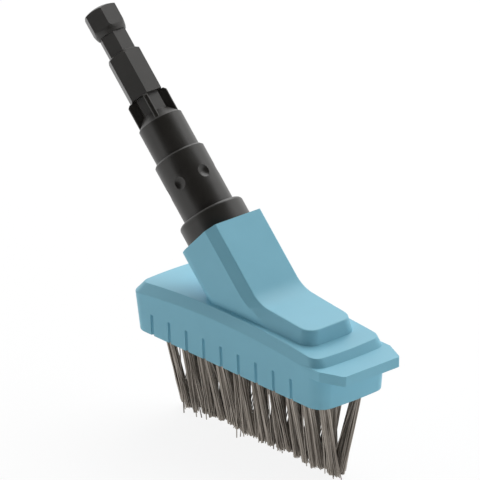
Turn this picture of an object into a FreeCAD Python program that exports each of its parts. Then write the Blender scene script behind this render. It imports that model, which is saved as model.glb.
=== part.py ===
import FreeCAD, Part
import math
import os

# Grout brush: a moulded block with a slanted socket, a plug-in spigot for a long handle,
# and three rows of steel wire tufts that close to a narrow V at their tips.
# Millimetres. While modelling, X runs along the block towards its lip, Y across it and Z up,
# with X = 0 at the block's middle and Z = 0 on its underside. The finished pieces are then
# moved so that the origin lies on the spigot's axis, where a handle's socket stops.

# Block
BLOCK_LENGTH = 121.3
BLOCK_WIDTH = 40.4
BLOCK_HEIGHT = 26.2          # at mid-length
ARCH_DROP = 4.0              # how far the top falls over half the block's length
CROWN_X = 5.0                # its highest place
END_BOW = 1.1                # how far the ends bulge
CORNER_RADIUS = 7.5
SIDE_DRAFT_DEG = 3.0         # the block widens upwards
REAR_DRAFT_DEG = 7.0
RIM_HEIGHT = 4.4             # of the bevelled rim, at mid-length
RIM_ARCH_DROP = 4.2          # how far the rim's lower line falls from mid-length to the ends
RIM_ROUND = 1.2              # of that lower line
RIM_REAR_INSET = 4.4         # from the sides in to the top face, at its rear end
RIM_FRONT_INSET = 1.8        # the same at its front end
RIM_FRONT_SETBACK = 5.2      # from the front end in to the top face
RIM_REAR_SETBACK = 4.4
TOP_CORNER_RADIUS = 5.0
EDGE_ROUND = 0.6

# Lip on the block's front end
LIP_REACH = 12.2             # past the foot of the block's front end
LIP_WIDTH = 32.3             # at its outer edge
LIP_TOP = 19.7
LIP_THICKNESS = 4.8
LIP_CORNER = 1.5

# Grooves in the long sides
GROOVE_COUNT = 9
GROOVE_REAR_MARGIN = 12.3    # from the foot of the block's rear end to the first groove
GROOVE_FRONT_MARGIN = 17.8
GROOVE_HEIGHT = 10.0
GROOVE_RADIUS = 1.2
GROOVE_DEPTH = 0.45

# Neck with the socket, and the ridge that runs from it to the front
AXIS_LEAN_DEG = 45.0         # the spigot leans back from upright
MOUTH_X = -25.85
MOUTH_Z = 51.3
NECK_WIDTH = 32.4
NECK_FLAT_WIDTH = 26.5       # of the front face, between its bevels
NECK_BEVEL_DEPTH = 5.0
NECK_FRONT = 15.7            # from the axis to the front face
NECK_BACK = 16.0             # from the axis to the back face
NECK_BACK_RADIUS = 9.0
RIDGE_SETBACK = 14.3         # from the foot of the block's front end
RIDGE_FRONT_Z = 30.8
RIDGE_SLOPE_DEG = 5.5
RIDGE_BLEND = 17.0           # hollow curve between neck and ridge
RIDGE_SIDE_Z = 16.0          # where the ridge's side facets run out at its front
RIDGE_SIDE_RISE = 32.0       # of those facets, from the ridge's front back to below the mouth
RIDGE_SIDE_BLEND = 25.0
RIDGE_FACE_DEG = 78.0        # slope of the ridge's front end
RIDGE_CORNER = 6.5
RIDGE_ROUND = 0.8

# Spigot, from the socket's mouth upwards
COLLAR_RADIUS = 15.4
COLLAR_LENGTH = 9.8
COLLAR_ROUND = 1.6
BARREL_RADIUS = 12.0
BARREL_LENGTH = 29.5
BARREL_CHAMFER = 0.9
SLEEVE_RADIUS = 10.5
SLEEVE_LENGTH = 17.0         # up to its sloped shoulder
RIB_COUNT = 4
RIB_RADIUS = 9.6
RIB_THICKNESS = 2.2
RIB_LENGTH = 13.0
RIB_CHAMFER = 1.2
RIB_ROUND = 0.7              # of its outer edges
RIB_FIRST_DEG = -38.5        # from the axis's front side towards the near side
RIB_CORE_RADIUS = 6.0        # to the corners of its six-sided core
SHANK_RADIUS = 8.4           # to the corners of the hexagon
SHANK_LENGTH = 22.0
WAIST_RADIUS = 6.8
WAIST_LENGTH = 10.0
KNOB_RADIUS = 8.3
KNOB_LENGTH = 13.8
KNOB_DOME_RADIUS = 17.0
SHANK_TURN_LENGTH = 1.2      # of the turned-down corners at the shank's top
KNOB_TURN_LENGTH = 3.8       # of those under the knob
DIMPLE_COUNT = 6
DIMPLE_FIRST_DEG = -5.0      # from the axis's front side
DIMPLE_HEIGHT = 16.0         # above the collar
DIMPLE_RADIUS = 3.0
DIMPLE_BALL_RADIUS = 4.5

# Spigot's tail in the socket
TAIL_RADIUS = 9.6
TAIL_LENGTH = 27.0
BARB_COUNT = 3
BARB_PITCH = 7.0
BARB_LENGTH = 3.5
BARB_HEIGHT = 0.5
SOCKET_CLEARANCE = 0.05
SOCKET_SPARE_DEPTH = 0.5

# Tufts
TUFT_REAR_MARGIN = 10.3      # from the foot of the block's rear end to the first tufts
TUFT_FRONT_MARGIN = 7.7
TUFT_SIDE_MARGIN = 9.8       # from the foot of the long sides to the outer rows
OUTER_TUFT_COUNT = 10
MIDDLE_TUFT_COUNT = 9
OUTER_TIP_Y = 1.8            # of the outer rows, at the trimmed tips
TUFT_REACH = 39.2            # from the underside to the trimmed tips
TUFT_GATHER = 0.05           # share by which the tips of a row stand closer together than its holes
TUFT_HOLE_RADIUS = 2.4
TUFT_HOLE_DEPTH = 12.0
TUFT_CLEARANCE = 0.05
TUFT_STUB = 1.0              # how far the solid root stands out of its hole
STRAND_SIZE = 0.75
STRANDS_ALONG = 2            # strands in each bunch along the block
STRANDS_ACROSS = 3           # strands in each bunch across the block
STRAND_ROOT_STEP = 0.9
STRAND_TIP_STEP = 1.15
BUNCH_ROOT_GAP = 0.35        # between the two bunches of one tuft
BUNCH_TIP_GAP = 1.0

# Flat wire anchors that the tufts are folded over
ANCHOR_WIDTH = 6.0
ANCHOR_HEIGHT = 2.2
ANCHOR_THICKNESS = 0.4
ANCHOR_COVER = 1.0           # of folded wire above the anchor

RIDGE_FRONT_X = BLOCK_LENGTH / 2 - RIDGE_SETBACK
RIDGE_SIDE_SLOPE_DEG = math.degrees(math.atan2(RIDGE_SIDE_RISE, RIDGE_FRONT_X - MOUTH_X))
OUTER_ROW_Y = BLOCK_WIDTH / 2 - TUFT_SIDE_MARGIN
V = FreeCAD.Vector
UP = V(0, 0, 1)
SPIGOT_PLACE = FreeCAD.Placement(V(MOUTH_X, 0, MOUTH_Z), FreeCAD.Rotation(V(0, 1, 0), -AXIS_LEAN_DEG))
ORIGIN = SPIGOT_PLACE.multVec(V(0, 0, COLLAR_LENGTH))
RUN_OUT = 20.0               # how far a cutting shape reaches past what it cuts


def rise(degrees):
    """Sideways growth per unit of height at an angle from upright."""
    return math.tan(math.radians(degrees))


def closed_polygon(points):
    """Closed wire through points."""
    return Part.makePolygon(points + points[:1])


def side_prism(points, half_width):
    """Solid with an outline of (x, z) points, extruded across the block."""
    outline = closed_polygon([V(x, -half_width, z) for x, z in points])
    return Part.Face(outline).extrude(V(0, 2 * half_width, 0))


def turned(points):
    """Solid turned about Z from (radius, height) points."""
    outline = closed_polygon([V(r, 0, z) for r, z in points])
    return Part.Face(outline).revolve(V(0, 0, 0), UP, 360)


def hexagon(radius, bottom, length):
    """Six-sided prism on Z with a flat towards X."""
    angles = [math.radians(30 + 60 * i) for i in range(6)]
    outline = closed_polygon([V(radius * math.cos(a), radius * math.sin(a), bottom) for a in angles])
    return Part.Face(outline).extrude(UP * length)


def corner_arc(start, corner, end):
    """Quarter-round arc between two points that lie equally far from a corner."""
    centre = start + end - corner
    middle = centre + (corner - centre).normalize() * (start - centre).Length
    return Part.Arc(start, middle, end).toShape()


def top_face(shape):
    """Face of a shape with the highest centre."""
    return max(shape.Faces, key=lambda face: face.CenterOfMass.z)


# Block

def bowed_plan(front_x, rear_x, front_y, rear_y, height):
    """Level outline with straight sides and bowed ends."""
    near_front = V(front_x, -front_y, height)
    far_front = V(front_x, front_y, height)
    far_rear = V(rear_x, rear_y, height)
    near_rear = V(rear_x, -rear_y, height)
    return Part.Wire([
        Part.Arc(near_front, V(front_x + END_BOW, 0, height), far_front).toShape(),
        Part.makeLine(far_front, far_rear),
        Part.Arc(far_rear, V(rear_x - END_BOW, 0, height), near_rear).toShape(),
        Part.makeLine(near_rear, near_front),
    ])


def block_limits(height):
    """Front end, rear end and half width of the drafted block at one height."""
    front_x = BLOCK_LENGTH / 2 + height * rise(SIDE_DRAFT_DEG)
    rear_x = -BLOCK_LENGTH / 2 - height * rise(REAR_DRAFT_DEG)
    return front_x, rear_x, BLOCK_WIDTH / 2 + height * rise(SIDE_DRAFT_DEG)


def block_outline(height):
    """Plan of the block at one height."""
    front_x, rear_x, y = block_limits(height)
    return bowed_plan(front_x, rear_x, y, y, height)


def top_outline():
    """Plan of the top face inside the rim; its sides flare towards the front."""
    front_x, rear_x, y = block_limits(BLOCK_HEIGHT)
    return bowed_plan(
        front_x - RIM_FRONT_SETBACK, rear_x + RIM_REAR_SETBACK, y - RIM_FRONT_INSET, y - RIM_REAR_INSET, 0
    )


def arch(height, drop, crown_x):
    """Everything under an arched surface, highest at its crown and lower at the block's ends."""
    half = BLOCK_LENGTH / 2
    radius = (half ** 2 + drop ** 2) / (2 * drop)
    reach = half + RUN_OUT
    low = height - radius + math.sqrt(radius ** 2 - reach ** 2)
    y = -BLOCK_WIDTH
    top = Part.Arc(V(-reach, y, low), V(0, y, height), V(reach, y, low)).toShape()
    corners = [V(reach, y, low), V(reach, y, -RUN_OUT), V(-reach, y, -RUN_OUT), V(-reach, y, low)]
    edges = [Part.makeLine(a, b) for a, b in zip(corners, corners[1:])]
    solid = Part.Face(Part.Wire([top] + edges)).extrude(V(0, 2 * BLOCK_WIDTH, 0))
    solid.translate(V(crown_x, 0, 0))
    return solid


def rounded_uprights(shape, radius):
    """Shape with its upright edges rounded."""
    uprights = [e for e in shape.Edges if e.BoundBox.ZLength > BLOCK_HEIGHT / 2]
    return shape.makeFillet(radius, uprights)


def in_turn(edges):
    """Edges of a rim, in turn around the block from its front end."""
    def turn(edge):
        return (math.atan2(edge.CenterOfMass.y, edge.CenterOfMass.x) + math.pi / 24) % (2 * math.pi)
    return sorted(edges, key=turn)


def block():
    """Block with rounded corners and an arched top, joined to its sides by a bevelled rim."""
    rim_z = BLOCK_HEIGHT - RIM_HEIGHT
    blank = Part.makeLoft([block_outline(0), block_outline(BLOCK_HEIGHT + RUN_OUT)], True, True)
    lower = rounded_uprights(blank, CORNER_RADIUS).common(arch(rim_z, RIM_ARCH_DROP, 0))
    column = Part.Face(top_outline()).extrude(UP * (BLOCK_HEIGHT + RUN_OUT))
    upper = rounded_uprights(column, TOP_CORNER_RADIUS).common(arch(BLOCK_HEIGHT, ARCH_DROP, CROWN_X))
    lower_top = top_face(lower)
    upper_top = top_face(upper)
    pairs = zip(in_turn(lower_top.OuterWire.Edges), in_turn(upper_top.OuterWire.Edges))
    rim = [Part.makeRuledSurface(outer, inner) for outer, inner in pairs]
    walls = [face for face in lower.Faces if not face.isSame(lower_top)]
    shell = Part.Shell(walls + rim + [upper_top])
    shell.sewShape()
    body = Part.Solid(shell)
    body = body.makeFillet(EDGE_ROUND, top_face(body).OuterWire.Edges)

    def on_rim_line(edge):
        box = edge.BoundBox
        lowest = rim_z - RIM_ARCH_DROP - RIM_HEIGHT / 2
        return box.ZMin > lowest and box.ZMax < rim_z + EDGE_ROUND / 2 and edge.Length > CORNER_RADIUS

    return body.makeFillet(RIM_ROUND, [e for e in body.Edges if on_rim_line(e)])


def lip():
    """Plate that stands out from the block's front end, tapering to its outer edge."""
    bottom = LIP_TOP - LIP_THICKNESS
    corner_x = BLOCK_LENGTH / 2 + bottom * rise(SIDE_DRAFT_DEG)
    corner_y = BLOCK_WIDTH / 2 + bottom * rise(SIDE_DRAFT_DEG)
    inner_x = BLOCK_LENGTH / 4
    outer_x = BLOCK_LENGTH / 2 + LIP_REACH
    outer_y = LIP_WIDTH / 2
    plan = [
        V(inner_x, -corner_y, bottom), V(corner_x, -corner_y, bottom), V(outer_x, -outer_y, bottom),
        V(outer_x, outer_y, bottom), V(corner_x, corner_y, bottom), V(inner_x, corner_y, bottom),
    ]
    plate = Part.Face(closed_polygon(plan)).extrude(UP * LIP_THICKNESS)
    corners = [
        e for e in plate.Edges
        if e.BoundBox.ZLength > LIP_THICKNESS / 2 and e.CenterOfMass.x > corner_x - EDGE_ROUND
    ]
    return plate.makeFillet(LIP_CORNER, corners)


def grooves():
    """Slim grooves that run up both long sides from their lower edge."""
    cutters = []
    first = GROOVE_REAR_MARGIN - BLOCK_LENGTH / 2
    pitch = (BLOCK_LENGTH - GROOVE_REAR_MARGIN - GROOVE_FRONT_MARGIN) / (GROOVE_COUNT - 1)
    for side in (-1, 1):
        run = V(0, side * rise(SIDE_DRAFT_DEG), 1)
        for i in range(GROOVE_COUNT):
            axis_y = side * (BLOCK_WIDTH / 2 + GROOVE_RADIUS - GROOVE_DEPTH)
            start = V(first + i * pitch, axis_y, 0) - run * GROOVE_RADIUS
            groove = Part.makeCylinder(GROOVE_RADIUS, GROOVE_HEIGHT + GROOVE_RADIUS, start, run)
            cutters.append(groove)
    return cutters


# Neck and ridge

def neck_profile(y, front, ridge_z, slope_deg, blend):
    """Closed side view of neck and ridge at one place across the block, oversized at its ends."""
    lean = math.radians(AXIS_LEAN_DEG)
    slope = math.radians(slope_deg)
    down = V(math.sin(lean), 0, -math.cos(lean))
    forward = V(math.cos(slope), 0, -math.sin(slope))
    top_front = SPIGOT_PLACE.multVec(V(front, 0, RUN_OUT / 2))
    top_back = SPIGOT_PLACE.multVec(V(-NECK_BACK - RUN_OUT, 0, RUN_OUT / 2))
    ridge_end = V(RIDGE_FRONT_X, 0, ridge_z) + forward * (RUN_OUT / forward.x)

    # The front face of the neck and the top of the ridge would meet at the bend.
    gap = ridge_end - top_front
    fall = (gap.x * forward.z - gap.z * forward.x) / (down.x * forward.z - down.z * forward.x)
    bend = top_front + down * fall
    turn = math.acos(down.dot(forward))
    tangent = blend * math.tan(turn / 2)
    inward = (forward - down).normalize()
    blend_start = bend - down * tangent
    blend_end = bend + forward * tangent
    blend_middle = bend + inward * (blend / math.cos(turn / 2) - blend)

    corners = [
        blend_end, ridge_end, V(ridge_end.x, 0, 0), top_back + down * (top_back.z / math.cos(lean)),
        top_back, top_front, blend_start,
    ]
    edges = [Part.makeLine(a, b) for a, b in zip(corners, corners[1:])]
    edges.append(Part.Arc(blend_start, blend_middle, blend_end).toShape())
    outline = Part.Wire(edges)
    outline.translate(V(0, y, 0))
    return outline


def flat_profile(y):
    """Side view at the edge of the flat front face."""
    return neck_profile(y, NECK_FRONT, RIDGE_FRONT_Z, RIDGE_SLOPE_DEG, RIDGE_BLEND)


def side_profile(y):
    """Side view at the neck's side, where the bevel has run out."""
    return neck_profile(
        y, NECK_FRONT - NECK_BEVEL_DEPTH, RIDGE_SIDE_Z, RIDGE_SIDE_SLOPE_DEG, RIDGE_SIDE_BLEND
    )


def neck_envelope():
    """Prism along the spigot's axis with the neck's sides, rounded back and mouth."""
    half = NECK_WIDTH / 2
    back = -NECK_BACK
    front = BLOCK_LENGTH
    inset = NECK_BACK_RADIUS
    near_side = V(back + inset, -half, 0)
    near_back = V(back, -half + inset, 0)
    far_back = V(back, half - inset, 0)
    far_side = V(back + inset, half, 0)
    outline = Part.Wire([
        Part.makeLine(V(front, -half, 0), near_side), corner_arc(near_side, V(back, -half, 0), near_back),
        Part.makeLine(near_back, far_back), corner_arc(far_back, V(back, half, 0), far_side),
        Part.makeLine(far_side, V(front, half, 0)), Part.makeLine(V(front, half, 0), V(front, -half, 0)),
    ])
    prism = Part.Face(outline).extrude(UP * -2 * BLOCK_LENGTH)
    prism.Placement = SPIGOT_PLACE
    return prism


def ridge_envelope():
    """Everything above the lip's level and behind the sloped front end of the ridge."""
    top = MOUTH_Z + NECK_FRONT + RUN_OUT
    cot = 1 / rise(RIDGE_FACE_DEG)
    outline = [
        (-BLOCK_LENGTH, LIP_TOP), (RIDGE_FRONT_X + (RIDGE_FRONT_Z - LIP_TOP) * cot, LIP_TOP),
        (RIDGE_FRONT_X + (RIDGE_FRONT_Z - top) * cot, top), (-BLOCK_LENGTH, top),
    ]
    return side_prism(outline, BLOCK_WIDTH)


def neck_and_ridge():
    """Bevelled neck that bends into the ridge along the block's top."""
    flat = NECK_FLAT_WIDTH / 2
    side = NECK_WIDTH / 2
    middle = Part.Face(flat_profile(-flat)).extrude(V(0, 2 * flat, 0))
    near = Part.makeLoft([side_profile(-side), flat_profile(-flat)], True, True)
    far = Part.makeLoft([flat_profile(flat), side_profile(side)], True, True)
    body = middle.fuse([near, far]).removeSplitter()
    body = body.common(neck_envelope()).common(ridge_envelope())

    def at_front(edge):
        return edge.BoundBox.XMin > RIDGE_FRONT_X - EDGE_ROUND

    def borders_flat(edge):
        box = edge.BoundBox
        on_line = abs(abs(edge.CenterOfMass.y) - flat) < EDGE_ROUND
        return on_line and box.ZMin > RIDGE_FRONT_Z - EDGE_ROUND and box.YLength < EDGE_ROUND

    def tops_front(edge):
        level = abs(edge.CenterOfMass.z - RIDGE_FRONT_Z) < EDGE_ROUND
        return level and edge.CenterOfMass.x > RIDGE_FRONT_X - RIDGE_CORNER

    corners = [e for e in body.Edges if at_front(e) and e.BoundBox.ZLength > RIDGE_CORNER]
    body = body.makeFillet(RIDGE_CORNER, corners)
    rim = [e for e in body.Edges if borders_flat(e) or tops_front(e)]
    return body.makeFillet(RIDGE_ROUND, rim)


# Spigot

def tail_points(clearance, spare):
    """Half outline of the barbed tail below the mouth, or of the socket around it."""
    radius = TAIL_RADIUS + clearance
    points = [(0, -TAIL_LENGTH - spare), (radius, -TAIL_LENGTH - spare)]
    for i in range(BARB_COUNT):
        top = -BARB_PITCH * (BARB_COUNT - i)
        points += [(radius, top - BARB_LENGTH), (radius + BARB_HEIGHT, top), (radius, top)]
    return points + [(radius, 0), (0, 0)]


def turned_hexagon(radius, bottom, length, cone_bottom, cone_top, turn):
    """Six-sided prism whose corners are turned down to a radius at its lower or upper end."""
    profile = [
        (0, bottom), (cone_bottom, bottom), (radius, bottom + turn),
        (radius, bottom + length - turn), (cone_top, bottom + length), (0, bottom + length),
    ]
    return hexagon(radius, bottom, length).common(turned(profile))


def rib(angle, bottom):
    """One upright rib of the cross above the sleeve, rounded outside and bevelled at its top corner."""
    profile = [
        (0, bottom), (RIB_RADIUS, bottom), (RIB_RADIUS, bottom + RIB_LENGTH - RIB_CHAMFER),
        (RIB_RADIUS - RIB_CHAMFER, bottom + RIB_LENGTH), (0, bottom + RIB_LENGTH),
    ]
    plate = side_prism(profile, RIB_THICKNESS / 2)
    outer_x = RIB_RADIUS - RIB_CHAMFER / 2
    outer = [e for e in plate.Edges if e.BoundBox.XMin > outer_x and e.BoundBox.ZLength > RIB_CHAMFER]
    plate = plate.makeFillet(RIB_ROUND, outer)
    plate.rotate(V(0, 0, 0), UP, angle)
    return plate


def spigot():
    """Plug-in spigot on its own axis, with Z = 0 at the socket's mouth."""
    barrel_bottom = COLLAR_LENGTH
    sleeve_bottom = barrel_bottom + BARREL_LENGTH
    rib_bottom = sleeve_bottom + SLEEVE_LENGTH
    shank_bottom = rib_bottom + RIB_LENGTH
    waist_bottom = shank_bottom + SHANK_LENGTH
    knob_bottom = waist_bottom + WAIST_LENGTH
    knob_top = knob_bottom + KNOB_LENGTH
    shoulder = SLEEVE_RADIUS - RIB_CORE_RADIUS

    collar = Part.makeCylinder(COLLAR_RADIUS, COLLAR_LENGTH)
    collar = collar.makeFillet(COLLAR_ROUND, top_face(collar).Edges)
    barrel = turned([
        (0, barrel_bottom), (BARREL_RADIUS, barrel_bottom),
        (BARREL_RADIUS, barrel_bottom + DIMPLE_HEIGHT + DIMPLE_BALL_RADIUS),
        (BARREL_RADIUS, sleeve_bottom - BARREL_CHAMFER), (BARREL_RADIUS - BARREL_CHAMFER, sleeve_bottom),
        (0, sleeve_bottom),
    ])
    sleeve = turned([
        (0, sleeve_bottom), (SLEEVE_RADIUS, sleeve_bottom), (SLEEVE_RADIUS, rib_bottom),
        (RIB_CORE_RADIUS, rib_bottom + shoulder), (0, rib_bottom + shoulder),
    ])
    core = hexagon(RIB_CORE_RADIUS, rib_bottom, RIB_LENGTH)
    ribs = [rib(RIB_FIRST_DEG + 360 / RIB_COUNT * i, rib_bottom) for i in range(RIB_COUNT)]
    shank = turned_hexagon(
        SHANK_RADIUS, shank_bottom, SHANK_LENGTH, SHANK_RADIUS, WAIST_RADIUS, SHANK_TURN_LENGTH
    )
    waist = hexagon(WAIST_RADIUS, waist_bottom, WAIST_LENGTH)
    knob = turned_hexagon(KNOB_RADIUS, knob_bottom, KNOB_LENGTH, WAIST_RADIUS, KNOB_RADIUS, KNOB_TURN_LENGTH)
    knob = knob.common(Part.makeSphere(KNOB_DOME_RADIUS, V(0, 0, knob_top - KNOB_DOME_RADIUS)))

    tail = turned(tail_points(0, 0))
    body = tail.fuse([collar, barrel, sleeve, core, shank, waist, knob] + ribs)
    ball_x = BARREL_RADIUS + math.sqrt(DIMPLE_BALL_RADIUS ** 2 - DIMPLE_RADIUS ** 2)
    for i in range(DIMPLE_COUNT):
        ball = Part.makeSphere(DIMPLE_BALL_RADIUS, V(ball_x, 0, barrel_bottom + DIMPLE_HEIGHT))
        ball.rotate(V(0, 0, 0), UP, DIMPLE_FIRST_DEG + 360 / DIMPLE_COUNT * i)
        body = body.cut(ball)
    return body


# Tufts and anchors

def row_places(count):
    """Positions along the block of one row's tufts; a shorter row is staggered."""
    centre = (TUFT_REAR_MARGIN - TUFT_FRONT_MARGIN) / 2
    pitch = (BLOCK_LENGTH - TUFT_REAR_MARGIN - TUFT_FRONT_MARGIN) / (OUTER_TUFT_COUNT - 1)
    return [centre + (i - (count - 1) / 2) * pitch for i in range(count)]


def tuft_axis(root_y, tip_y):
    """Placement at a tuft hole's mouth, with Z along the hole into the block."""
    lean = math.degrees(math.atan2(root_y - tip_y, TUFT_REACH))
    return FreeCAD.Placement(V(0, root_y, 0), FreeCAD.Rotation(V(1, 0, 0), -lean))


def tuft_hole(root_y, tip_y):
    """Cutter for one tuft's hole."""
    hole = Part.makeCylinder(TUFT_HOLE_RADIUS, TUFT_HOLE_DEPTH + RUN_OUT, V(0, 0, -RUN_OUT))
    hole.Placement = tuft_axis(root_y, tip_y)
    return hole


def anchor(root_y, tip_y):
    """Flat strip across a hole, wider than the hole so that it bites into the block."""
    bottom = TUFT_HOLE_DEPTH - TUFT_CLEARANCE - ANCHOR_COVER - ANCHOR_HEIGHT
    strip = Part.makeBox(
        ANCHOR_THICKNESS, ANCHOR_WIDTH, ANCHOR_HEIGHT, V(-ANCHOR_THICKNESS / 2, -ANCHOR_WIDTH / 2, bottom)
    )
    strip.Placement = tuft_axis(root_y, tip_y)
    return strip


def strand_centres(step, gap):
    """Centres of a tuft's strands, in two bunches side by side along the block."""
    centres = []
    for side in (-1, 1):
        for i in range(STRANDS_ALONG):
            for j in range(STRANDS_ACROSS):
                x = side * (gap / 2 + STRAND_SIZE / 2 + i * step)
                centres.append((x, (j - (STRANDS_ACROSS - 1) / 2) * step))
    return centres


def square(x, y, z):
    """Level square wire, one strand thick."""
    half = STRAND_SIZE / 2
    return closed_polygon([
        V(x - half, y - half, z), V(x + half, y - half, z),
        V(x + half, y + half, z), V(x - half, y + half, z),
    ])


def tuft(root_y, tip_x, tip_y):
    """Solid root in the hole and strands that fan out to tips trimmed level."""
    lean = (root_y - tip_y) / TUFT_REACH
    start_y = root_y + lean * TUFT_STUB
    root = Part.makeCylinder(
        TUFT_HOLE_RADIUS - TUFT_CLEARANCE, TUFT_HOLE_DEPTH - TUFT_CLEARANCE + TUFT_STUB, V(0, 0, -TUFT_STUB)
    )
    root.Placement = tuft_axis(root_y, tip_y)
    starts = strand_centres(STRAND_ROOT_STEP, BUNCH_ROOT_GAP)
    ends = strand_centres(STRAND_TIP_STEP, BUNCH_TIP_GAP)
    strands = []
    for (start_dx, start_dy), (end_dx, end_dy) in zip(starts, ends):
        upper = square(start_dx, start_y + start_dy, TUFT_STUB)
        lower = square(tip_x + end_dx, tip_y + end_dy, -TUFT_REACH)
        strands.append(Part.makeLoft([lower, upper], True, True))
    return root.fuse(strands).cut(anchor(root_y, tip_y))


def shifted(shape, x):
    """Copy of a shape moved along the block."""
    copy = shape.copy()
    copy.translate(V(x, 0, 0))
    return copy


def export(shape, name):
    """Write one piece, moved to the finished origin."""
    if not shape.isValid():
        raise ValueError("invalid shape: " + name)
    moved = shape.copy()
    moved.translate(ORIGIN * -1)
    moved.exportStep("parts/" + name + ".step")


def main():
    os.makedirs("parts", exist_ok=True)
    rows = [
        ("near", OUTER_TUFT_COUNT, -OUTER_ROW_Y, -OUTER_TIP_Y),
        ("middle", MIDDLE_TUFT_COUNT, 0, 0),
        ("far", OUTER_TUFT_COUNT, OUTER_ROW_Y, OUTER_TIP_Y),
    ]
    cutters = grooves()
    for row, count, root_y, tip_y in rows:
        row_anchor = anchor(root_y, tip_y)
        row_hole = tuft_hole(root_y, tip_y).fuse(row_anchor)
        anchors = []
        for i, x in enumerate(row_places(count)):
            export(shifted(tuft(root_y, -TUFT_GATHER * x, tip_y), x), "tuft_%s_%02d" % (row, i + 1))
            anchors.append(shifted(row_anchor, x))
            cutters.append(shifted(row_hole, x))
        export(Part.makeCompound(anchors), "anchors_" + row)

    handle_spigot = spigot()
    handle_spigot.Placement = SPIGOT_PLACE
    export(handle_spigot, "handle_spigot")

    socket = turned(tail_points(SOCKET_CLEARANCE, SOCKET_SPARE_DEPTH))
    socket.Placement = SPIGOT_PLACE
    head = block().fuse([lip(), neck_and_ridge()]).removeSplitter()
    export(head.cut([socket] + cutters), "brush_head")


main()
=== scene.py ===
# Grout brush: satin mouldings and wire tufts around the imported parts
import math
import random

import bpy
from mathutils import Matrix, Vector


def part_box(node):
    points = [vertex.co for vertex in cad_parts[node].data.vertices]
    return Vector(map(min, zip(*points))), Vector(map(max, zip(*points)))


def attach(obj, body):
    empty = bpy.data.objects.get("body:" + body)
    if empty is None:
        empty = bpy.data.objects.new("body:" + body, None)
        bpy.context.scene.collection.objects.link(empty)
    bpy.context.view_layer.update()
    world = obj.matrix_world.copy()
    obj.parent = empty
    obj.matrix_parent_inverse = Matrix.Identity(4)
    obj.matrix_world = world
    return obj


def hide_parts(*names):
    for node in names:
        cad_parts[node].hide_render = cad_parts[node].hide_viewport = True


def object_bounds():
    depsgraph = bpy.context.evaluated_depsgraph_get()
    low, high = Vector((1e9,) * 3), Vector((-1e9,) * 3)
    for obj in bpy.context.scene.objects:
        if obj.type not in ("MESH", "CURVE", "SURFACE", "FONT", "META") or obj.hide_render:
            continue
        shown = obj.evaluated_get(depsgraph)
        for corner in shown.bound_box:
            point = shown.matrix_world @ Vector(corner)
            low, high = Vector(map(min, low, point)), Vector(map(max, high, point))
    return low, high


MM = 0.001

# View of the photograph: a long lens far away, so that nothing narrows with distance
VIEW_TURN_DEG = -41.92         # from +X towards -Y
VIEW_HEIGHT_DEG = 23.76
VIEW_DISTANCE = 4.0
VIEW_REACH = 100               # nothing farther away than this is seen
VIEW_LENS_MM = 684.4
VIEW_SENSOR_MM = 36
VIEW_TARGET = Vector((19.295, 0.35, -6.808)) * MM

# Mouldings
WELD = 0.001 * MM              # corner points closer than this are one point
SOFT_EDGE_DEG = 30             # faces that meet at less than this are one rounded surface
GROOVES_FROM = -18 * MM        # stretch of the long sides with grooves
GROOVES_TO = 80 * MM
GROOVE_HEIGHT = 10 * MM
GROOVE_DEEPEN = 2.2            # the grooves are cut this many times as deep as in the solid
SIDE_SHARE = 0.8               # share of the half width past which a point is on a long side
LEVEL_SLACK = 0.1 * MM         # points closer than this to a level lie on it

# Moulded finish of both plastics
POLYMER_IOR = 1.49
GRAIN_HEIGHT = 0.02 * MM
GRAIN_STRENGTH = 0.35
MOTTLE_RANGE = (0.3, 0.7)      # levels of the mottle that get the darkest and the palest colour
SHEEN_CHANGE = 0.04            # how far the roughness rises and falls with the mottle

# Metal finishes
OIL_PATCH = 1.5 * MM
SPANGLE = 2 * MM

# Wires of a tuft, in two bunches side by side along the block
WIRE_WIDTH = 0.5 * MM
WIRE_SIDES = 6
WIRE_SPANS = 4                 # straight lengths that make up one bowed wire
WIRE_SWAY = 0.4 * MM           # how far a wire bows from its straight line
WIRE_SOFT_EDGE_DEG = 70
RING_SLACK = 0.01              # share of a wire's length within which points are one ring
WIRES_IN_BUNCH = 38
BUNCH_OFFSET_ROOT = 1.25 * MM  # from the tuft's middle to each bunch's middle
BUNCH_OFFSET_TIP = 2.5 * MM
BUNCH_RADIUS_ROOT = 1.15 * MM
OUTER_RADIUS_TIP = 1.35 * MM   # the outer rows' bunches stay slim
MIDDLE_RADIUS_TIP = 2.4 * MM   # and the middle row's fan out between them
BUNCH_WANDER = 0.6 * MM        # how far a bunch's tip strays from its place
SPIRAL_STEP = math.pi * (3 - math.sqrt(5))  # turn from wire to wire that fills a bunch evenly
SPIRAL_JITTER = 0.3            # largest change of that turn, in radians
ROOT_IN_HOLE = 4.0 * MM        # how far the wires reach into the block
END_SLICE = 1.0 * MM           # length of a solid tuft that counts as its root or its tip
LONGEST_TIP = 1.0 * MM         # how far the longest wires reach past the solid tuft
BUNCH_CUT = 1.8 * MM           # bunches are cut to lengths that differ by this much
TIP_CUT = 1.6 * MM             # and the wires of one bunch by this much
STRAY_SHARE = 0.08             # share of the wires that stand out of their bunch
STRAY_SPREAD = 2.2 * MM

# Studio, in metres
FLOOR_SIZE = 40.0
FLOOR_GAP = 0.2 * MM           # from the longest wires down to the floor
FLOOR_BLEACH = 0.88            # share of plain white in what is seen of the floor
TENT_LIGHT = 1.32
OPENING_LIGHT = 0.03
OPENING_TURN_DEG = -50         # middle of the tent's dark opening, above the camera
OPENING_HEIGHT_DEG = 56
OPENING_INNER_DEG = 50         # from its middle to where its dark starts to give way
OPENING_OUTER_DEG = 61
LAMP_TURN_DEG = 109
LAMP_HEIGHT_DEG = 55
LAMP_DISTANCE = 1.5
LAMP_WIDTH = 1.5
LAMP_WATTS = 15.5

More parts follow.
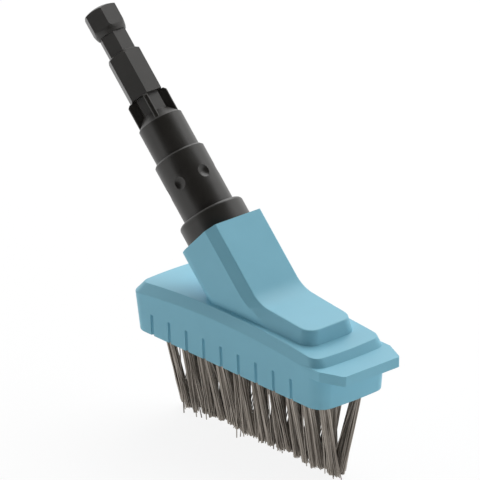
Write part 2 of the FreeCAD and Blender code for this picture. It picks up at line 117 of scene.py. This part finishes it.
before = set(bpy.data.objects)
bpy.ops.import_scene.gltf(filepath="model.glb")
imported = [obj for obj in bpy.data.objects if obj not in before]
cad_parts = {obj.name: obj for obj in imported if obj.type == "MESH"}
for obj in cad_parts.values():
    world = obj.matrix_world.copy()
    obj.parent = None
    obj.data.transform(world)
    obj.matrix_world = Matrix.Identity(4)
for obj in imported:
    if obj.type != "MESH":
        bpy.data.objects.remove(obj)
cad_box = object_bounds()
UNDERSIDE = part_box("brush_head")[0].z
bpy.ops.object.select_all(action="DESELECT")
dice = random.Random(29)       # a fixed start, so that every run gives the same wires


# Materials

def linear(hex_colour):
    """Linear RGBA of an sRGB hex colour."""
    parts = [int(hex_colour[i:i + 2], 16) / 255 for i in (1, 3, 5)]
    return [c / 12.92 if c <= 0.04045 else ((c + 0.055) / 1.055) ** 2.4 for c in parts] + [1]


def add(tree, kind, links=(), **settings):
    """Add one node, with settings for its properties or sockets and links from other outputs."""
    node = tree.nodes.new(kind)
    for name, value in settings.items():
        if hasattr(node, name):
            setattr(node, name, value)
        else:
            node.inputs[name.replace("_", " ")].default_value = value
    for socket, source in links:
        tree.links.new(source, node.inputs[socket])
    return node


def new_material(name, **constants):
    """New material, its node tree and its shader, with the shader's constant values by socket."""
    material = bpy.data.materials.new(name)
    material.use_nodes = True
    shader = material.node_tree.nodes["Principled BSDF"]
    for socket, value in constants.items():
        shader.inputs[socket.replace("_", " ")].default_value = value
    return material, material.node_tree, shader


def moulded_satin(name, dark, pale, gloss, roughness, grain, mottle):
    """Polymer moulded in an eroded tool: a fine matt grain, and faintly uneven colour and sheen."""
    material, tree, shader = new_material(name, IOR=POLYMER_IOR, Specular_IOR_Level=gloss)
    place = add(tree, "ShaderNodeTexCoord").outputs["Object"]
    cloud = add(tree, "ShaderNodeTexNoise", [("Vector", place)], Scale=1 / mottle, Detail=3.0)
    shade = add(tree, "ShaderNodeValToRGB", [("Fac", cloud.outputs["Fac"])])
    for stop, position, colour in zip(shade.color_ramp.elements, MOTTLE_RANGE, (dark, pale)):
        stop.position = position
        stop.color = linear(colour)
    sheen = add(
        tree, "ShaderNodeMapRange", [("Value", cloud.outputs["Fac"])],
        From_Min=MOTTLE_RANGE[0], From_Max=MOTTLE_RANGE[1],
        To_Min=roughness - SHEEN_CHANGE, To_Max=roughness + SHEEN_CHANGE,
    )
    # The real grain is too fine to show, so it is drawn coarser
    pits = add(tree, "ShaderNodeTexNoise", [("Vector", place)], Scale=1 / grain, Detail=2.0)
    relief = add(
        tree, "ShaderNodeBump", [("Height", pits.outputs["Fac"])],
        Strength=GRAIN_STRENGTH, Distance=GRAIN_HEIGHT,
    )
    tree.links.new(shade.outputs["Color"], shader.inputs["Base Color"])
    tree.links.new(sheen.outputs["Result"], shader.inputs["Roughness"])
    tree.links.new(relief.outputs["Normal"], shader.inputs["Normal"])
    return material


def drawn_wire():
    """Drawn carbon steel wire, oiled and dull: grey-brown, no two wires of quite the same tone."""
    material, tree, shader = new_material("drawn_steel_wire", Metallic=0.85)
    place = add(tree, "ShaderNodeTexCoord").outputs["Object"]
    one_wire = add(tree, "ShaderNodeNewGeometry").outputs["Random Per Island"]
    tone = add(tree, "ShaderNodeValToRGB", [("Fac", one_wire)])
    tone.color_ramp.elements[0].color = linear("#574F48")
    tone.color_ramp.elements[1].color = linear("#BDB5AB")
    oil = add(tree, "ShaderNodeTexNoise", [("Vector", place)], Scale=1 / OIL_PATCH, Detail=2.0)
    matt = add(tree, "ShaderNodeMapRange", [("Value", oil.outputs["Fac"])], To_Min=0.3, To_Max=0.6)
    tree.links.new(tone.outputs["Color"], shader.inputs["Base Color"])
    tree.links.new(matt.outputs["Result"], shader.inputs["Roughness"])
    return material


def cut_strip():
    """Galvanised strip cut to length: plain grey metal with faint cloudy spangle."""
    material, tree, shader = new_material("galvanised_strip", Metallic=1.0, Roughness=0.4)
    place = add(tree, "ShaderNodeTexCoord").outputs["Object"]
    cloud = add(tree, "ShaderNodeTexNoise", [("Vector", place)], Scale=1 / SPANGLE)
    tone = add(tree, "ShaderNodeValToRGB", [("Fac", cloud.outputs["Fac"])])
    tone.color_ramp.elements[0].color = linear("#8C8E90")
    tone.color_ramp.elements[1].color = linear("#B4B6B8")
    tree.links.new(tone.outputs["Color"], shader.inputs["Base Color"])
    return material


def white_board():
    """Matt white studio board, mostly bleached where it is seen, so that the shadow stays faint."""
    material, tree, shader = new_material(
        "matt_white_board", Base_Color=linear("#FAFAFA"), Roughness=0.9, Specular_IOR_Level=0.1
    )
    ray = add(tree, "ShaderNodeLightPath")
    seen = ray.outputs["Is Camera Ray"]
    for kind in ("Is Glossy Ray", "Is Transmission Ray"):
        either = add(tree, "ShaderNodeMath", [(0, seen), (1, ray.outputs[kind])], operation="MAXIMUM")
        seen = either.outputs["Value"]
    share = add(tree, "ShaderNodeMath", [(0, seen)], operation="MULTIPLY")
    share.inputs[1].default_value = FLOOR_BLEACH
    white = add(tree, "ShaderNodeEmission", Strength=1.0)
    mix = add(tree, "ShaderNodeMixShader", [
        (0, share.outputs["Value"]), (1, shader.outputs["BSDF"]), (2, white.outputs["Emission"]),
    ])
    tree.links.new(mix.outputs["Shader"], tree.nodes["Material Output"].inputs["Surface"])
    return material


# Mouldings

def pick(piece):
    """Make one object the only selected and the active one."""
    bpy.ops.object.select_all(action="DESELECT")
    piece.select_set(True)
    bpy.context.view_layer.objects.active = piece


def welded_copy(name, node):
    """Copy of a moulded part with its loose triangles welded to one skin."""
    piece = bpy.data.objects.new(name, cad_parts[node].data.copy())
    bpy.context.collection.objects.link(piece)
    pick(piece)
    bpy.ops.mesh.customdata_custom_splitnormals_clear()
    bpy.ops.object.mode_set(mode="EDIT")
    bpy.ops.mesh.select_all(action="SELECT")
    bpy.ops.mesh.remove_doubles(threshold=WELD)
    bpy.ops.mesh.select_all(action="DESELECT")
    bpy.ops.object.mode_set(mode="OBJECT")
    return piece


def deepen_grooves(piece):
    """Stretch both ends of every groove inwards from the side walls, so that they show as dark lines."""
    side_from = SIDE_SHARE * cad_box[1][1]
    for side in (-1, 1):
        for level in (UNDERSIDE, UNDERSIDE + GROOVE_HEIGHT):
            wall = 0
            for point in piece.data.vertices:
                at = point.co
                on_side = side * at.y > side_from and GROOVES_FROM < at.x < GROOVES_TO
                point.select = on_side and abs(at.z - level) < LEVEL_SLACK
                if point.select:
                    wall = max(wall, side * at.y)
            bpy.ops.object.mode_set(mode="EDIT")
            bpy.ops.transform.resize(
                value=(1, GROOVE_DEEPEN, 1), center_override=(0, side * wall, level)
            )
            bpy.ops.mesh.select_all(action="DESELECT")
            bpy.ops.object.mode_set(mode="OBJECT")


def smooth_rounds(piece):
    """Shade the rounds smooth and leave the flat faces flat."""
    pick(piece)
    bpy.ops.object.shade_smooth_by_angle(angle=math.radians(SOFT_EDGE_DEG))
    even = piece.modifiers.new("flat faces stay flat", "WEIGHTED_NORMAL")
    even.keep_sharp = True
    bpy.ops.object.modifier_apply(modifier=even.name)


def finish_piece(piece, material, node):
    """Give a piece its one material and its body, and hide the part that it stands for."""
    piece.data.materials.clear()
    piece.data.materials.append(material)
    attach(piece, "root")
    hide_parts(node)


# Wire tufts

def wire_form(name, bow, wave):
    """One wire, a unit long, hanging from the origin, with its inner rings moved sideways."""
    bpy.ops.object.select_all(action="DESELECT")
    bpy.ops.mesh.primitive_cylinder_add(
        vertices=WIRE_SIDES, radius=WIRE_WIDTH / 2, depth=1, location=(0, 0, -0.5), end_fill_type="NGON"
    )
    wire = bpy.context.active_object
    wire.name = name
    bpy.ops.object.transform_apply(location=True)
    bpy.ops.object.mode_set(mode="EDIT")
    levels = [i / WIRE_SPANS for i in range(1, WIRE_SPANS)]
    for level in levels:
        bpy.ops.mesh.select_all(action="SELECT")
        bpy.ops.mesh.bisect(plane_co=(0, 0, -level), plane_no=(0, 0, 1))
    for level in levels:
        sway = bow * math.sin(math.pi * level) + wave * math.sin(2 * math.pi * level)
        bpy.ops.mesh.select_all(action="DESELECT")
        bpy.ops.object.mode_set(mode="OBJECT")
        for point in wire.data.vertices:
            point.select = abs(point.co.z + level) < RING_SLACK
        bpy.ops.object.mode_set(mode="EDIT")
        bpy.ops.transform.translate(value=(WIRE_SWAY * sway, 0, 0))
    bpy.ops.object.mode_set(mode="OBJECT")
    bpy.ops.object.shade_smooth_by_angle(angle=math.radians(WIRE_SOFT_EDGE_DEG))
    return wire


def tuft_ends(node):
    """Middle of a solid tuft at the height where its wires start, and middle of its trimmed tips."""
    low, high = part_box(node)
    points = [point.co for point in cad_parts[node].data.vertices]
    tops = [p for p in points if p.z > high.z - END_SLICE]
    tips = [p for p in points if p.z < low.z + END_SLICE]
    top = sum(tops, Vector()) / len(tops)
    tip = sum(tips, Vector()) / len(tips)
    start_z = UNDERSIDE + ROOT_IN_HOLE
    share = (top.z - start_z) / (top.z - tip.z)
    return Vector((top.x, top.y + (tip.y - top.y) * share, start_z)), tip


def wire_ends(index, root, tip, radius_tip):
    """Start and end of one wire: close to the others at the root, fanned out and unevenly cut below."""
    out = math.sqrt((index + 0.5) / WIRES_IN_BUNCH)
    turn = SPIRAL_STEP * index + dice.uniform(-SPIRAL_JITTER, SPIRAL_JITTER)
    ring = Vector((math.cos(turn), math.sin(turn), 0)) * out
    end = tip + ring * radius_tip
    if dice.random() < STRAY_SHARE:
        end += Vector((dice.gauss(0, 1), dice.gauss(0, 1), 0)) * STRAY_SPREAD
    end.z += dice.random() * TIP_CUT
    return root + ring * BUNCH_RADIUS_ROOT, end


def tuft(name, node, forms, material):
    """Two bunches of wires from one hole, copied from the wire forms and joined to one piece."""
    root, tip = tuft_ends(node)
    radius_tip = MIDDLE_RADIUS_TIP if "middle" in node else OUTER_RADIUS_TIP
    wires = []
    for side in (-1, 1):
        bunch_root = root + Vector((side * BUNCH_OFFSET_ROOT, 0, 0))
        wander = Vector((dice.gauss(0, 1), dice.gauss(0, 1), 0)) * BUNCH_WANDER
        wander.z = dice.random() * BUNCH_CUT - LONGEST_TIP
        bunch_tip = tip + Vector((side * BUNCH_OFFSET_TIP, 0, 0)) + wander
        for index in range(WIRES_IN_BUNCH):
            start, end = wire_ends(index, bunch_root, bunch_tip, radius_tip)
            along = end - start
            turn = (-along).to_track_quat("Z", "Y").to_matrix().to_4x4()
            roll = Matrix.Rotation(dice.uniform(0, 2 * math.pi), 4, "Z")
            stretch = Matrix.Diagonal((1, 1, along.length, 1))
            mesh = dice.choice(forms).data.copy()
            mesh.transform(Matrix.Translation(start) @ turn @ roll @ stretch)
            wire = bpy.data.objects.new(name, mesh)
            bpy.context.collection.objects.link(wire)
            wires.append(wire)
    pick(wires[0])
    for wire in wires:
        wire.select_set(True)
    bpy.ops.object.join()
    finish_piece(wires[0], material, node)
    wires[0].name = name


def all_tufts():
    """Three rows of tufts; the outer rows lean in so that all tips make one narrow line."""
    forms = [
        wire_form("straight wire", bow=0.2, wave=0.0),
        wire_form("bowed wire", bow=1.0, wave=0.2),
        wire_form("s-shaped wire", bow=0.2, wave=0.8),
        wire_form("slack wire", bow=-0.7, wave=0.5),
    ]
    material = drawn_wire()
    for node in sorted(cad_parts):
        if node.startswith("tuft_"):
            tuft(node.replace("tuft", "wires"), node, forms, material)
    for form in forms:
        bpy.data.objects.remove(form)


# Studio

def direction(turn_deg, height_deg):
    """Unit vector at a turn from +X and a height above level."""
    turn = math.radians(turn_deg)
    height = math.radians(height_deg)
    flat = math.cos(height)
    return Vector((flat * math.cos(turn), flat * math.sin(turn), math.sin(height)))


def camera():
    """Camera at the photograph's place, with the photograph's frame."""
    back = direction(VIEW_TURN_DEG, VIEW_HEIGHT_DEG)
    bpy.ops.object.camera_add(location=VIEW_TARGET + back * VIEW_DISTANCE)
    eye = bpy.context.active_object
    eye.rotation_euler = back.to_track_quat("Z", "Y").to_euler()
    eye.data.lens = VIEW_LENS_MM
    eye.data.sensor_width = VIEW_SENSOR_MM
    eye.data.clip_end = VIEW_REACH
    bpy.context.scene.camera = eye


def floor():
    """White board just under the longest wires."""
    level = cad_box[0][2] - LONGEST_TIP - FLOOR_GAP
    bpy.ops.mesh.primitive_plane_add(size=FLOOR_SIZE, location=(0, 0, level))
    board = bpy.context.active_object
    board.name = "floor"
    board.data.materials.append(white_board())


def softbox():
    """Round soft lamp behind the brush, high up."""
    back = direction(LAMP_TURN_DEG, LAMP_HEIGHT_DEG)
    bpy.ops.object.light_add(type="AREA", location=back * LAMP_DISTANCE)
    lamp = bpy.context.active_object
    lamp.data.shape = "DISK"
    lamp.data.size = LAMP_WIDTH
    lamp.data.energy = LAMP_WATTS
    lamp.rotation_euler = back.to_track_quat("Z", "Y").to_euler()


def walls():
    """Light tent: white all round, with a dark opening above the camera."""
    world = bpy.data.worlds.new("studio")
    bpy.context.scene.world = world
    world.use_nodes = True
    tree = world.node_tree
    place = add(tree, "ShaderNodeTexCoord").outputs["Generated"]
    facing = add(tree, "ShaderNodeVectorMath", [(0, place)], operation="DOT_PRODUCT")
    facing.inputs[1].default_value = direction(OPENING_TURN_DEG, OPENING_HEIGHT_DEG)
    tent = add(
        tree, "ShaderNodeMapRange", [("Value", facing.outputs["Value"])], interpolation_type="SMOOTHSTEP",
        From_Min=math.cos(math.radians(OPENING_OUTER_DEG)),
        From_Max=math.cos(math.radians(OPENING_INNER_DEG)),
        To_Min=TENT_LIGHT, To_Max=OPENING_LIGHT,
    )
    tree.links.new(tent.outputs["Result"], tree.nodes["Background"].inputs["Strength"])
    tree.nodes["Background"].inputs["Color"].default_value = linear("#FFFFFF")


bpy.context.scene.view_settings.view_transform = "Standard"
camera()
floor()
walls()
softbox()

turquoise = moulded_satin(
    "moulded_polypropylene_turquoise", "#7CB8CC", "#80BCD0",
    gloss=0.28, roughness=0.46, grain=0.35 * MM, mottle=18 * MM,
)
dark_grey = moulded_satin(
    "moulded_glass_filled_nylon_dark_grey", "#2A2825", "#2E2C29",
    gloss=0.5, roughness=0.36, grain=0.3 * MM, mottle=9 * MM,
)
head = welded_copy("head", "brush_head")
deepen_grooves(head)
smooth_rounds(head)
finish_piece(head, turquoise, "brush_head")
spigot = welded_copy("spigot", "handle_spigot")
smooth_rounds(spigot)
finish_piece(spigot, dark_grey, "handle_spigot")
all_tufts()
strip = cut_strip()
for row in ("near", "middle", "far"):
    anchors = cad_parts["anchors_" + row]
    anchors.data.materials.clear()
    anchors.data.materials.append(strip)
